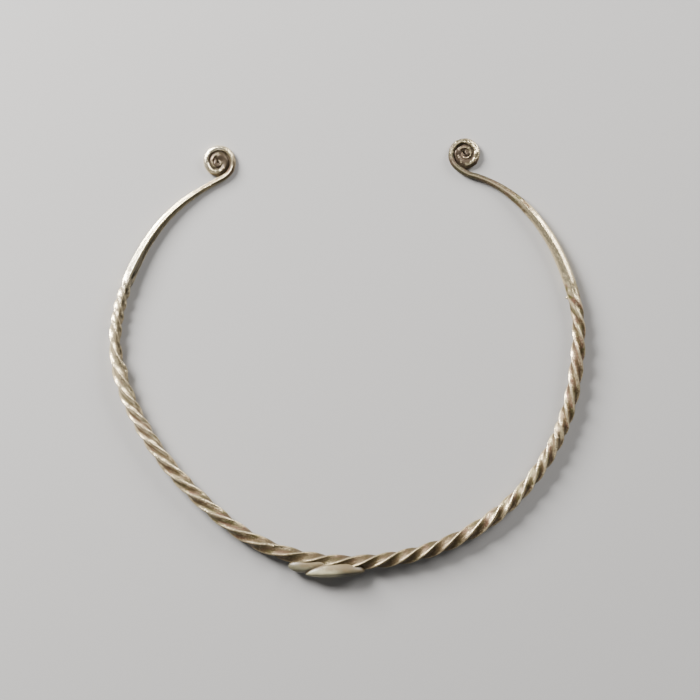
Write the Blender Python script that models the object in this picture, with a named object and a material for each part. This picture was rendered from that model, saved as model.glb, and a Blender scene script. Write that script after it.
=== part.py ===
"""A silver torc: one bar with four ridges, twisted along the hoop and drawn out into two plain stems that curl
into flat spirals, with a pale splint moulded on the outside of its lowest stretch.

Blender 4.5, metres, +Z up. The torc lies flat, with its mouth towards +Y and its origin under the middle of its
bounding box. A place on the bar is its distance along the bar from the hoop's lowest point: negative on the left
arm, positive on the right.
"""

import math

import bmesh
import bpy
from mathutils import Matrix, Vector

MM = 0.001  # every size below is in millimetres, every angle in degrees

# Each arm is bent as a smith would: stretch by stretch, from the lowest point outwards (length, turn).
LEFT_BENDS = (
    (20, 16.5), (20, 21.5), (20, 9), (25, 15.5), (15, 12.5),
    (18, 27), (12, 10), (16, 13), (16, 19.5), (11, 9),
)
RIGHT_BENDS = (
    (20, 13.5), (20, 16), (20, 17.5), (20, 17.5), (20, 17.5), (12, 4.5),
    (12, 17), (16, 11.5), (16, 17), (10, 12.5), (12, 20.5),
)

# Each spiral turns the other way. It is a lead-in arc (radius, turn), then quarter turns with these radii.
LEFT_LEAD_IN = (13.5, 12)
LEFT_QUARTERS = (4.9, 4.05, 3.95, 2.88, 2.95, 2.08, 2.05, 1.42, 1.0, 0.45)
RIGHT_LEAD_IN = (11.7, 30)
RIGHT_QUARTERS = (4.6, 3.9, 3.7, 2.9, 2.8, 2.0, 1.7, 1.4, 1.0)

# The bar's radius, from its axis to its ridges, at places along it (place, radius).
BAR_RADII = (
    (-168, 0.95), (-155, 1.3), (-143, 1.6), (-131, 1.85), (-106, 2.0), (-98, 2.35), (-60, 2.4),
    (50, 2.35), (62, 2.15), (75, 2.25), (108, 2.3), (118, 2.05), (140, 1.85), (158, 1.65), (169, 1.1), (178, 0.98),
)

# In a spiral the bar thins out to its tip: (share of the spiral's length, share of the way to the tip's radius).
TIP_RADIUS = 0.4
SPIRAL_TAPER = ((0, 0), (0.35, 0.2), (0.62, 0.42), (0.85, 0.8), (1, 1))

# The twist starts here and runs to the right: length of each stretch, and the quarter turns in it.
TWIST_START = -129.5
TWIST = (
    (16, 4), (21, 3), (17, 3), (23, 3), (24, 3), (9.5, 1), (15.3, 2), (8.5, 1),
    (27.7, 4), (16.5, 2), (30.5, 5), (8.5, 2), (27.5, 4), (11.5, 2),
)
BLEND = 6  # the length over which one radius or rate of twist passes into the next

# The section has ridges with hollows between them. A hollow's reach is a share of the ridges' radius.
RIDGES = 4
POINTS_A_RIDGE = 3
TWIST_HOLLOW = 0.72
STEM_HOLLOW = 0.80
COIL_HOLLOW = 0.90
HOLLOW_BLEND = 12  # the length on each side of a join over which one section passes into the next

# The distance between the sections that shape each part of the bar.
COIL_STEP = 0.62
TWIST_STEP = 1.5
STEM_STEP = 2.5
SHORTEST_STEP = 0.3

# The underside of the bar is worn flat where it lies on the ground.
FLAT_DEPTH = 0.25

# The splint is two overlapping lobes pressed against the outside of the bar, and clear of its ridges.
# Each lobe: middle along the bar, middle outwards, slant, half length, its half width towards the bar and its half
# width away from it, half height, middle's height.
LEFT_LOBE = (-11.7, 1.95, 10, 7.0, 2.2, 2.5, 2.15, 2.2)
RIGHT_LOBE = (-4.2, 3.2, 5.6, 9.45, 3.4, 1.6, 2.95, 2.15)
SPLINT_CLEARANCE = 0.33
CLEARANCE_STEP = 1.5
CLEARANCE_ENDS = (-28, 14)
CLEARANCE_SIDES = 24
GROUND_SIZE = (60, 60, 10)


def arm_arcs(bends, lead_in, quarters):
    """One arm as a chain of arcs, (length, turn in radians), from the lowest point to the spiral's inner end."""
    arcs = [(length, math.radians(turn)) for length, turn in bends]
    radius, turn = lead_in
    arcs.append((radius * math.radians(turn), -math.radians(turn)))
    arcs += [(radius * math.pi / 2, -math.pi / 2) for radius in quarters]
    return arcs


def walk(arcs, distance):
    """The point and heading reached after a distance along a chain of arcs that leaves the origin towards +X."""
    x = y = heading = 0.0
    for length, turn in arcs:
        part = min(length, distance)
        half_swing = turn * part / length / 2
        chord = part * math.sin(half_swing) / half_swing if half_swing else part
        x += chord * math.cos(heading + half_swing)
        y += chord * math.sin(heading + half_swing)
        heading += 2 * half_swing
        distance -= part
        if distance <= 0:
            break
    return x, y, heading


LEFT_ARCS = arm_arcs(LEFT_BENDS, LEFT_LEAD_IN, LEFT_QUARTERS)
RIGHT_ARCS = arm_arcs(RIGHT_BENDS, RIGHT_LEAD_IN, RIGHT_QUARTERS)
LEFT_STEM_END = -sum(length for length, _ in LEFT_BENDS)
RIGHT_STEM_END = sum(length for length, _ in RIGHT_BENDS)
LEFT_TIP = -sum(length for length, _ in LEFT_ARCS)
RIGHT_TIP = sum(length for length, _ in RIGHT_ARCS)
TWIST_END = TWIST_START + sum(length for length, _ in TWIST)


def bar_axis(place):
    """The bar's axis at a place: x, y, and its heading on the way from the left spiral to the right one."""
    if place < 0:
        x, y, heading = walk(LEFT_ARCS, -place)
        return -x, y, -heading
    return walk(RIGHT_ARCS, place)


def between(knots, place):
    """The value at a place on the straight lines between knots, and level past the ends."""
    if place <= knots[0][0]:
        return knots[0][1]
    for (start, low), (end, high) in zip(knots, knots[1:]):
        if place <= end:
            return low + (high - low) * (place - start) / (end - start)
    return knots[-1][1]


def smoothed(knots, place):
    """The mean of the line through the knots, over a window of one blend around the place."""
    samples = 9
    offsets = [BLEND * (k / (samples - 1) - 0.5) for k in range(samples)]
    return sum(between(knots, place + offset) for offset in offsets) / samples


def twist_knots():
    """(place, quarter turns so far) at the joins of the twist's stretches."""
    knots = [(TWIST_START, 0)]
    for length, quarters in TWIST:
        place, turns = knots[-1]
        knots.append((place + length, turns + quarters))
    return knots


TWIST_KNOTS = twist_knots()
HOLLOW_KNOTS = (
    (LEFT_STEM_END - HOLLOW_BLEND, COIL_HOLLOW),
    (LEFT_STEM_END + HOLLOW_BLEND, STEM_HOLLOW),
    (TWIST_START - HOLLOW_BLEND, STEM_HOLLOW),
    (TWIST_START + HOLLOW_BLEND, TWIST_HOLLOW),
    (TWIST_END - HOLLOW_BLEND, TWIST_HOLLOW),
    (TWIST_END + HOLLOW_BLEND, STEM_HOLLOW),
    (RIGHT_STEM_END - HOLLOW_BLEND, STEM_HOLLOW),
    (RIGHT_STEM_END + HOLLOW_BLEND, COIL_HOLLOW),
)


def bar_radius(place):
    """The radius to the ridges."""
    stem_end, tip = (LEFT_STEM_END, LEFT_TIP) if place < 0 else (RIGHT_STEM_END, RIGHT_TIP)
    radius = smoothed(BAR_RADII, place)
    along_spiral = (place - stem_end) / (tip - stem_end)
    return radius + (TIP_RADIUS - radius) * between(SPIRAL_TAPER, along_spiral)


def section_step(place):
    """How far the next section is from this place."""
    if place < LEFT_STEM_END or place >= RIGHT_STEM_END:
        return COIL_STEP
    if TWIST_START < place < TWIST_END:
        return TWIST_STEP
    return STEM_STEP


def section_places():
    """The places of the bar's sections, from the left spiral's tip to the right one's."""
    places = [LEFT_TIP]
    while places[-1] < RIGHT_TIP:
        places.append(places[-1] + section_step(places[-1]))
    places[-1] = RIGHT_TIP
    if places[-1] - places[-2] < SHORTEST_STEP:
        del places[-2]
    return places


def ring_round_axis(place, reaches, start_angle=0.0):
    """A ring of points round the bar's axis, one for each reach. Angle 0 is up, and a quarter turn is inwards."""
    x, y, heading = bar_axis(place)
    axis_point = Vector((x, y, bar_radius(place) - FLAT_DEPTH))
    up = Vector((0, 0, 1))
    inward = Vector((-math.sin(heading), math.cos(heading), 0))
    points = []
    for k, reach in enumerate(reaches):
        angle = start_angle + math.tau * k / len(reaches)
        points.append((axis_point + reach * (math.cos(angle) * up + math.sin(angle) * inward)) * MM)
    return points


def bar_section(place):
    """The bar's section: its ridges, with the points of the hollows between them, turned by the twist."""
    radius = bar_radius(place)
    hollow_reach = radius * between(HOLLOW_KNOTS, place)
    reaches = ([radius] + [hollow_reach] * (POINTS_A_RIDGE - 1)) * RIDGES
    return ring_round_axis(place, reaches, smoothed(TWIST_KNOTS, place) * math.pi / 2)


def loft(rings):
    """A closed skin through rings of points."""
    mesh_edit = bmesh.new()
    loops = [[mesh_edit.verts.new(point) for point in ring] for ring in rings]
    sides = len(loops[0])
    for here, there in zip(loops, loops[1:]):
        for k in range(sides):
            after = (k + 1) % sides
            mesh_edit.faces.new((here[k], here[after], there[after], there[k]))
    mesh_edit.faces.new(loops[0])
    mesh_edit.faces.new(reversed(loops[-1]))
    return mesh_edit


def cut_level(mesh_edit):
    """Cuts away what lies below the ground and closes each cut with a flat face."""
    bmesh.ops.bisect_plane(
        mesh_edit,
        geom=mesh_edit.verts[:] + mesh_edit.edges[:] + mesh_edit.faces[:],
        dist=1e-7,
        plane_co=(0, 0, 0),
        plane_no=(0, 0, 1),
        clear_inner=True,
    )
    open_edges = [edge for edge in mesh_edit.edges if edge.is_boundary]
    bmesh.ops.holes_fill(mesh_edit, edges=open_edges, sides=0)


def plain_material(name, colour, roughness, metallic):
    """A Principled material with one colour."""
    material = bpy.data.materials.new(name)
    material.use_nodes = True
    shader = material.node_tree.nodes["Principled BSDF"]
    shader.inputs["Base Color"].default_value = (*colour, 1)
    shader.inputs["Roughness"].default_value = roughness
    shader.inputs["Metallic"].default_value = metallic
    return material


def add_object(name, mesh_edit, material, collection):
    """Turns an edited mesh into a named object."""
    bmesh.ops.recalc_face_normals(mesh_edit, faces=mesh_edit.faces)
    mesh = bpy.data.meshes.new(name)
    mesh_edit.to_mesh(mesh)
    mesh_edit.free()
    mesh.materials.append(material)
    made = bpy.data.objects.new(name, mesh)
    collection.objects.link(made)
    return made


def add_torc(collection):
    """The whole torc, spirals included: one piece of metal."""
    mesh_edit = loft([bar_section(place) for place in section_places()])
    cut_level(mesh_edit)
    silver = plain_material("worn silver", (0.62, 0.57, 0.49), 0.35, 1.0)
    return add_object("torc", mesh_edit, silver, collection)


def add_lobe(name, lobe, material, collection):
    """One lobe of the splint: a flattened ball, slanted like the twist."""
    along, outward, slant, half_length, inner_width, outer_width, half_height, height = lobe
    x, y, heading = bar_axis(along)
    mesh_edit = bmesh.new()
    bmesh.ops.create_uvsphere(mesh_edit, u_segments=20, v_segments=12, radius=1)
    for vert in mesh_edit.verts:
        vert.co.y *= inner_width if vert.co.y > 0 else outer_width
    place = (
        Matrix.Translation(Vector((x + outward * math.sin(heading), y - outward * math.cos(heading), height)) * MM)
        @ Matrix.Rotation(heading + math.radians(slant), 4, "Z")
        @ Matrix.Diagonal((half_length * MM, MM, half_height * MM, 1))
        @ Matrix.Rotation(math.pi / 2, 4, "Y")
    )
    bmesh.ops.transform(mesh_edit, verts=mesh_edit.verts, matrix=place)
    return add_object(name, mesh_edit, material, collection)


def add_bar_clearance(material, collection):
    """The room that the bar needs under the splint: a smooth tube round its axis."""
    start, end = CLEARANCE_ENDS
    places = [start + k * CLEARANCE_STEP for k in range(int((end - start) / CLEARANCE_STEP) + 1)]
    rings = []
    for place in places:
        reach = bar_radius(place) + SPLINT_CLEARANCE
        rings.append(ring_round_axis(place, [reach] * CLEARANCE_SIDES))
    return add_object("bar clearance", loft(rings), material, collection)


def add_ground(material, collection):
    """The ground under the splint, as a block."""
    mesh_edit = bmesh.new()
    bmesh.ops.create_cube(mesh_edit, size=1)
    bmesh.ops.scale(mesh_edit, verts=mesh_edit.verts, vec=Vector(GROUND_SIZE) * MM)
    bmesh.ops.translate(mesh_edit, verts=mesh_edit.verts, vec=Vector((0, 0, -GROUND_SIZE[2] / 2)) * MM)
    return add_object("ground", mesh_edit, material, collection)


def add_splint(collection, cutters):
    """The splint: two lobes joined, cut back from the bar and from the ground."""
    resin = plain_material("pale resin", (0.72, 0.70, 0.60), 0.5, 0.0)
    splint = add_lobe("splint", LEFT_LOBE, resin, collection)
    steps = (
        (add_lobe("right lobe", RIGHT_LOBE, resin, cutters), "UNION"),
        (add_bar_clearance(resin, cutters), "DIFFERENCE"),
        (add_ground(resin, cutters), "DIFFERENCE"),
    )
    for cutter, operation in steps:
        cut = splint.modifiers.new(cutter.name, "BOOLEAN")
        cut.object = cutter
        cut.operation = operation
        cutter.hide_render = True
        cutter.display_type = "WIRE"
    return splint


def centre_over_origin(parts):
    """Moves every mesh so that the parts' common box is centred over the origin."""
    bpy.context.view_layer.update()
    corners = [Vector(corner) for part in parts for corner in part.bound_box]
    middle_x, middle_y = [(min(c[k] for c in corners) + max(c[k] for c in corners)) / 2 for k in range(2)]
    for item in bpy.data.objects:
        item.data.transform(Matrix.Translation((-middle_x, -middle_y, 0)))


def main():
    for old in list(bpy.data.objects):
        bpy.data.objects.remove(old, do_unlink=True)
    object_parts = bpy.data.collections.new("silver torc")
    cutters = bpy.data.collections.new("cutters")
    for collection in (object_parts, cutters):
        bpy.context.scene.collection.children.link(collection)
    torc = add_torc(object_parts)
    splint = add_splint(object_parts, cutters)
    centre_over_origin((torc, splint))


main()
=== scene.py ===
# %% [markdown]
# # A silver torc
#
# The real object is an ancient neck ring. It is one bar of silver with four ridges, twisted along its
# middle, drawn out thin at both ends, curled there into flat spirals, and bent round into a hoop. A
# pale splint sits on the outside of its lowest stretch. The lesson follows the smith: a straight bar
# gets its ridges, its wear and its twist, and only then is it bent. The sizes of its pieces are in
# millimetres, and each piece is turned into metres at its last step. The floor, the lamps and the
# camera are in metres from the start. Angles are in degrees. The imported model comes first, because it
# sets the size and place of everything here.

import math

import bmesh
import bpy
import numpy as np
from mathutils import Matrix, Vector, noise


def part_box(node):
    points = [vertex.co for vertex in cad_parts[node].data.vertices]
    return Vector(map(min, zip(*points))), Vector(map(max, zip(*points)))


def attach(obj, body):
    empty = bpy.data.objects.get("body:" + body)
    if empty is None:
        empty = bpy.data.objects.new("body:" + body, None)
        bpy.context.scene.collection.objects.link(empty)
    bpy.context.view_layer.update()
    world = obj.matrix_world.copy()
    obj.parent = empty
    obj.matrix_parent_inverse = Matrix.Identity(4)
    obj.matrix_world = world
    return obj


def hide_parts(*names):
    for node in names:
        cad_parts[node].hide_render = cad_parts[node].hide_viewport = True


MM = 0.001
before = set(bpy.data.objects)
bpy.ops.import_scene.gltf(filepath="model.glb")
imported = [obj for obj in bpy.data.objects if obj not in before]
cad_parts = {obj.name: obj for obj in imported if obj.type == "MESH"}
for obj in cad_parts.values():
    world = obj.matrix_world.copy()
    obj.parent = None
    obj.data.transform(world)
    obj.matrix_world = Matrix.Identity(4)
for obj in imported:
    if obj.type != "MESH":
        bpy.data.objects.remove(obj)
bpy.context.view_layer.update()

# %% [markdown]
# ## The route of the bar
#
# A smith bends a neck ring stretch by stretch over a stake, and checks it against the neck. The route
# here is made the same way, as arcs that follow one another: each has a length and a turn. A curve
# object would also do, but arcs give the bar's true length, and every later step needs to know how far
# along the bar it is. That distance is called a place. It is measured from the hoop's lowest point:
# negative on the left arm, positive on the right.

# %% The bends
LEFT_BENDS = (  # length, turn
    (20, 16.5), (20, 21.5), (20, 9), (25, 15.5), (15, 12.5),
    (18, 27), (12, 10), (16, 13), (16, 19.5), (11, 9),
)
RIGHT_BENDS = (
    (20, 13.5), (20, 16), (20, 17.5), (20, 17.5), (20, 17.5), (12, 4.5),
    (12, 17), (16, 11.5), (16, 17), (10, 12.5), (12, 20.5),
)
LEFT_LEAD_IN, RIGHT_LEAD_IN = (13.5, 12), (11.7, 30)  # radius and turn of the bend that starts each spiral
LEFT_QUARTERS = (4.9, 4.05, 3.95, 2.88, 2.95, 2.08, 2.05, 1.42, 1.0, 0.45)  # radius of each quarter turn
RIGHT_QUARTERS = (4.6, 3.9, 3.7, 2.9, 2.8, 2.0, 1.7, 1.4, 1.0)


def arm_arcs(bends, lead_in, quarters):
    """One arm as arcs of (length, turn in radians): the bends, then a spiral that turns the other way."""
    arcs = [(length, math.radians(turn)) for length, turn in bends]
    radius, turn = lead_in
    arcs.append((radius * math.radians(turn), -math.radians(turn)))
    return arcs + [(radius * math.pi / 2, -math.pi / 2) for radius in quarters]


LEFT_ARCS = arm_arcs(LEFT_BENDS, LEFT_LEAD_IN, LEFT_QUARTERS)
RIGHT_ARCS = arm_arcs(RIGHT_BENDS, RIGHT_LEAD_IN, RIGHT_QUARTERS)
LEFT_STEM_END, RIGHT_STEM_END = -sum(bend[0] for bend in LEFT_BENDS), sum(bend[0] for bend in RIGHT_BENDS)
LEFT_TIP, RIGHT_TIP = -sum(arc[0] for arc in LEFT_ARCS), sum(arc[0] for arc in RIGHT_ARCS)
print(f"The bar is {RIGHT_TIP - LEFT_TIP:.0f} mm long before it is bent")


# %% Walking along the bends
def walk(arcs, distance):
    """The point and heading after a distance along a chain of arcs that leaves the origin towards +X."""
    x = y = heading = 0.0
    for length, turn in arcs:
        part = min(length, distance)
        half_swing = turn * part / length / 2
        chord = part * math.sin(half_swing) / half_swing if half_swing else part
        x += chord * math.cos(heading + half_swing)
        y += chord * math.sin(heading + half_swing)
        heading += 2 * half_swing
        distance -= part
        if distance <= 0:
            break
    return x, y, heading


def bar_axis(place):
    """The bar's axis at a place: x, y, and its heading on the way from the left spiral to the right one."""
    if place < 0:
        x, y, heading = walk(LEFT_ARCS, -place)
        return -x, y, -heading
    return walk(RIGHT_ARCS, place)


for tip in (LEFT_TIP, RIGHT_TIP):
    print("A tip of the bar, before the ring is put in its place:", np.round(bar_axis(tip)[:2], 2))

# %% [markdown]
# ## Taper and twist
#
# The bar is thickest round the back of the neck and thins out towards the spirals. It was gripped at
# both ends of the twist and turned by hand, so the twist isn't even: some stretches took more of it
# than others. Both are plans along the bar, written as a few knots and smoothed, because hot metal
# passes gently from one stretch to the next. A Simple Deform modifier gives only an even twist.

# %% The plans for taper and twist
BAR_RADII = (  # place, radius to the ridges
    (-168, 0.95), (-155, 1.3), (-143, 1.6), (-131, 1.85), (-106, 2.0), (-98, 2.35), (-60, 2.4),
    (50, 2.35), (62, 2.15), (75, 2.25), (108, 2.3), (118, 2.05), (140, 1.85), (158, 1.65), (169, 1.1),
    (178, 0.98),
)
TIP_RADIUS = 0.5
SPIRAL_TAPER = (  # share of the spiral's length, share of the way to the tip's radius
    (0, 0), (0.45, 0.04), (0.6, 0.1), (0.7, 0.32), (0.82, 0.55), (0.92, 0.68), (1, 1),
)
TWIST_START = -129.5
TWIST = (  # length of each stretch, and the quarter turns in it
    (16, 4), (21, 3), (17, 3), (23, 3), (24, 3), (9.5, 1), (15.3, 2), (8.5, 1),
    (27.7, 4), (16.5, 2), (30.5, 5), (8.5, 2), (27.5, 4), (11.5, 2),
)
TWIST_END = TWIST_START + sum(length for length, _ in TWIST)
BLEND = 6  # the length over which one stretch passes into the next
BLEND_SAMPLES = 9


def smoothed(knots, places):
    """The line through the knots, averaged over one blend around each place."""
    at, values = zip(*knots)
    offsets = np.linspace(-BLEND / 2, BLEND / 2, BLEND_SAMPLES)
    return np.mean([np.interp(places + offset, at, values) for offset in offsets], axis=0)


def bar_radius(places):
    """The radius to the ridges."""
    radii = smoothed(BAR_RADII, places)
    for stem_end, tip in ((LEFT_STEM_END, LEFT_TIP), (RIGHT_STEM_END, RIGHT_TIP)):
        along_spiral = (places - stem_end) / (tip - stem_end)
        radii = radii + (TIP_RADIUS - radii) * np.interp(along_spiral, *zip(*SPIRAL_TAPER))
    return radii


def twist_angle(places):
    """How far the section has turned, in radians. A ridge is on top at every whole quarter turn."""
    lengths, quarters = zip(*TWIST)
    knots = zip(TWIST_START + np.cumsum((0,) + lengths), np.cumsum((0,) + quarters))
    return smoothed(tuple(knots), places) * math.pi / 2


some_places = np.array([LEFT_TIP, -150.0, 0.0, 150.0, RIGHT_TIP])
print("Radius in mm at a few places:", np.round(bar_radius(some_places), 2))
print(f"The whole twist is {math.degrees(twist_angle(some_places)[-1]) / 360:.2f} turns")

# %% [markdown]
# ## A straight bar
#
# The bar starts as a flat grid: its rows run along the bar and its columns round it. The rows are
# spread to the spacing that each stretch needs, closer where the bar will bend tightly or carries fine
# detail. The sheet is then rolled into a tube, its seam is welded, and each end ring is merged into one
# point, so the skin is closed. Extruding ring after ring would make the same tube, but one operator
# call for each ring is slow on a long bar. The tube's radius is one everywhere, so each point's place
# and angle are easy to read from it.

# %% Roll the straight bar
RING_POINTS = 60
RIDGE_FOCUS = 0.5  # 0 spaces the columns evenly, and 1 would crowd them all onto the ridges
TIP_LENGTH = 0.5
STRETCHES = (  # where each stretch ends, and the spacing of its rings
    (LEFT_TIP + TIP_LENGTH, 0.09),
    (LEFT_STEM_END, 0.25),
    (TWIST_START, 0.4),
    (TWIST_END, 0.265),
    (RIGHT_STEM_END, 0.4),
    (RIGHT_TIP - TIP_LENGTH, 0.25),
    (RIGHT_TIP, 0.09),
)
WELD = 1e-4  # points closer than this are the same point


def ring_places(start, stretches):
    """The places of all rings, spaced as the stretches say."""
    places = [start]
    for end, spacing in stretches:
        steps = math.ceil((end - places[-1]) / spacing)
        places += list(np.linspace(places[-1], end, steps + 1)[1:])
    return places


def straight_bar(start, stretches, ring_points):
    """A closed straight bar of radius one along X."""
    places = ring_places(start, stretches)
    bar = bmesh.new()
    bmesh.ops.create_grid(bar, x_segments=len(places) - 1, y_segments=ring_points, size=1)
    for vert in bar.verts:
        ring = round((vert.co.x + 1) / 2 * (len(places) - 1))
        angle = math.pi * vert.co.y
        angle -= RIDGE_FOCUS / 4 * math.sin(4 * angle)
        vert.co = (places[ring], math.sin(angle), math.cos(angle))
    seam = [vert for vert in bar.verts if vert.is_boundary]
    bmesh.ops.remove_doubles(bar, verts=seam, dist=WELD)
    for end in (places[0], places[-1]):
        ring = [vert for vert in bar.verts if abs(vert.co.x - end) < WELD]
        bmesh.ops.pointmerge(bar, verts=ring, merge_co=(end, 0, 0))
    bmesh.ops.recalc_face_normals(bar, faces=bar.faces)
    return bar


def as_mesh(name, shape):
    """Turns a bmesh into a mesh with the given name."""
    mesh = bpy.data.meshes.new(name)
    shape.to_mesh(mesh)
    shape.free()
    return mesh


torc_mesh = as_mesh("torc_silver", straight_bar(LEFT_TIP, STRETCHES, RING_POINTS))
print(f"The straight bar has {len(torc_mesh.vertices)} points")

# %% [markdown]
# ## Reading and moving points
#
# From here on the bar's skin keeps its faces, and only its points move. That is what sculpting does by
# hand. Whole arrays of points are read and moved at once, which is quick. Noise comes from Blender's
# own noise functions, read in the straight bar's space, so a lump or a streak follows the metal when it
# is twisted and bent.


# %% Helpers for arrays of points
def read_points(mesh):
    """All points of a mesh as an array with one row each."""
    flat = np.empty(len(mesh.vertices) * 3, np.float32)
    mesh.vertices.foreach_get("co", flat)
    return flat.reshape(-1, 3).astype(float)


def write_points(mesh, points):
    """Moves all points of a mesh."""
    mesh.vertices.foreach_set("co", points.astype(np.float32).ravel())
    mesh.update()


def read_normals(mesh):
    """The direction in which the skin faces at each point."""
    return np.array([vert.normal[:] for vert in mesh.vertices])


def ramp(values, start, width):
    """0 up to the start, and from there a straight rise to 1 over the width."""
    return np.clip((values - start) / width, 0, 1)


straight = read_points(torc_mesh)
print(f"The straight bar runs from {straight[:, 0].min():.1f} to {straight[:, 0].max():.1f} mm")

# %% Helpers for noise
LUMP_SHIFT = Vector((7.3, -3.1, 5.7))
GRAIN_SHIFT = Vector((-4.7, 8.9, 2.3))
GRAIN_STEEPNESS = 1.6


def lumps(points, size, layer):
    """Soft noise from -1 to 1 with lumps of about this size. Each layer is a different pattern."""
    shift = LUMP_SHIFT * layer
    return np.array([noise.noise(Vector(point) + shift) for point in points / size])


def grains(points, size, layer):
    """Rounded grains of about this size: 1 in the middle of a grain, 0 where grains meet."""
    shift = GRAIN_SHIFT * layer
    nearest = np.array([noise.voronoi(Vector(point) + shift)[0][:2] for point in points / size])
    return np.clip((nearest[:, 1] - nearest[:, 0]) * GRAIN_STEEPNESS, 0, 1)


some_lumps = lumps(straight[::500], size=5, layer=1)
print(f"Lumps run from {some_lumps.min():.2f} to {some_lumps.max():.2f}")

# %% [markdown]
# ## Four ridges
#
# The bar's section is a square with slightly hollowed faces and rounded corners, so that the twist
# shows four narrow ridges with wide faces between them. A superellipse gives all of that in one
# formula: with a power of one it is a square that stands on its corner, below one its faces are hollow,
# and with a higher power it grows round, as the bar does in its spirals. Its corners would reach a
# little past the ridges' radius, and a soft limit rounds them off there. An old bar is never quite
# even, so its ridges wander a little, and their height and the depth of the faces vary. Shallow grooves
# come and go beside the ridges.

# %% The section
SECTION_POWERS = (  # the superellipse's power at places along the bar
    (LEFT_TIP, 1.5), (LEFT_STEM_END - 14, 1.4), (LEFT_STEM_END - 7, 0.92), (LEFT_STEM_END, 0.84),
    (TWIST_START, 0.86), (TWIST_START + 8, 0.75), (TWIST_START + 35, 0.78), (TWIST_START + 60, 0.82),
    (TWIST_END - 15, 0.8), (TWIST_END + 8, 1.5), (RIGHT_STEM_END, 1.6), (RIGHT_STEM_END + 14, 1.5),
    (RIGHT_TIP, 1.5),
)
CORNER_REACH, CORNER_SOFTNESS = 1.18, 0.02
RIDGE_WIDTH, RIDGE_WANDER = 0.23, 0.10  # in radians
GROOVE_FROM_RIDGE, GROOVE_WIDTH = 0.24, 0.07  # in radians
GROOVE_DEPTH, GROOVE_PRESENCE, GROOVE_CHANGE = 0.035, 0.5, 2.2
RIDGE_UNEVEN, FACE_UNEVEN = 0.03, 0.05
LONG_LUMPS, WIDE_LUMPS = (1, 4, 4), (1, 0.3, 0.3)  # drawn out along the bar, and across it
TWIST_FADE = 8


def in_twist(places):
    """1 along the twist, falling to 0 at its ends."""
    return ramp(np.minimum(places - TWIST_START, TWIST_END - places), 0, TWIST_FADE)


def off_ridge(angles):
    """How far each angle is from the nearest ridge, in radians."""
    return np.mod(angles + math.pi / 4, math.pi / 2) - math.pi / 4


def section(points):
    """Each point's reach as a share of the ridges' radius, and its angle as the wandering ridges give it."""
    stretched = points * LONG_LUMPS
    angles = np.arctan2(points[:, 1], points[:, 2]) + RIDGE_WANDER * lumps(stretched, size=11, layer=2)
    power = np.interp(points[:, 0], *zip(*SECTION_POWERS)) + FACE_UNEVEN * lumps(stretched, size=7, layer=3)
    up, across = np.abs(np.cos(angles)), np.abs(np.sin(angles))
    square = CORNER_REACH / (up**power + across**power) ** (1 / power)
    reach = -CORNER_SOFTNESS * np.logaddexp(-square / CORNER_SOFTNESS, -1 / CORNER_SOFTNESS)
    twisted = in_twist(points[:, 0])
    for side in (-1, 1):
        groove = np.exp(-(((off_ridge(angles) - side * GROOVE_FROM_RIDGE) / GROOVE_WIDTH) ** 2))
        patches = lumps(points * WIDE_LUMPS, size=6, layer=10 + side)
        reach -= GROOVE_DEPTH * twisted * groove * np.clip(GROOVE_PRESENCE + GROOVE_CHANGE * patches, 0, 1)
    return reach * (1 + RIDGE_UNEVEN * lumps(stretched, size=9, layer=4)), angles


def crest_of(angles):
    """1 on a ridge's crest, falling to 0 on the faces."""
    return np.exp(-((off_ridge(angles) / RIDGE_WIDTH) ** 2))


share, _ = section(straight)
print(f"The hollows reach {share.min():.2f} of the ridges' radius at the deepest")

# %% [markdown]
# ## Marks of age
#
# Corrosion and use left marks that belong to certain spots: beads and burrs that stand up on the edges,
# pits and notches, a crumbly ridge near the splint, and rough nodules on the right arm. Each mark is a
# soft bump or dent with a place along the bar and a side, told as the angle at which it faces: 0 faces
# up, 90 faces the inside of the hoop and -90 the outside. Grainy marks carry small rounded grains. Fine
# lumps, patches of pits and faint strands, from drawing the bar out, cover the rest. The spirals are
# rougher.

# %% Single marks
BUMPS = (  # place, side, half length, half width, height
    (-116, 84, 1.0, 0.8, 0.55),
    (-101.5, 72, 2.6, 0.7, 0.45),
    (-99.2, 80, 0.9, 0.6, 0.4),
    (-58.7, 80, 0.8, 0.7, 0.4),
    (49.4, -38, 0.9, 0.8, 0.5),
    (126.3, 86, 0.4, 0.5, 0.75),
    (127.7, 38, 1.1, 0.5, 0.18),
    (133, 62, 0.9, 0.5, 0.18),
    (RIGHT_STEM_END + 22.5, -38, 1.3, 0.4, 0.22),
)
DENTS = (  # place, side, half length, half width, depth
    (LEFT_STEM_END - 7.5, 20, 5.0, 0.13, 0.16),
    (-131.1, 32, 2.0, 0.6, 0.32),
    (-126.2, 36, 1.5, 0.6, 0.32),
    (-122.4, 40, 1.5, 0.5, 0.28),
    (-108.5, 62, 1.8, 0.6, 0.35),
    (-105.5, 70, 0.8, 0.5, 0.4),
    (49.9, -36, 0.35, 0.3, 0.75),
    (108, -34, 1.3, 0.45, 0.5),
    (122.9, -14, 1.2, 0.4, 0.35),
    (127.3, -16, 1.5, 0.4, 0.35),
    (134.6, 26, 1.3, 0.35, 0.12),
    (RIGHT_STEM_END + 17, 8, 0.9, 0.22, 0.28),
    (RIGHT_STEM_END + 20, 14, 0.8, 0.25, 0.3),
    (RIGHT_STEM_END + 23.5, 12, 1.1, 0.24, 0.3),
)
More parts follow.
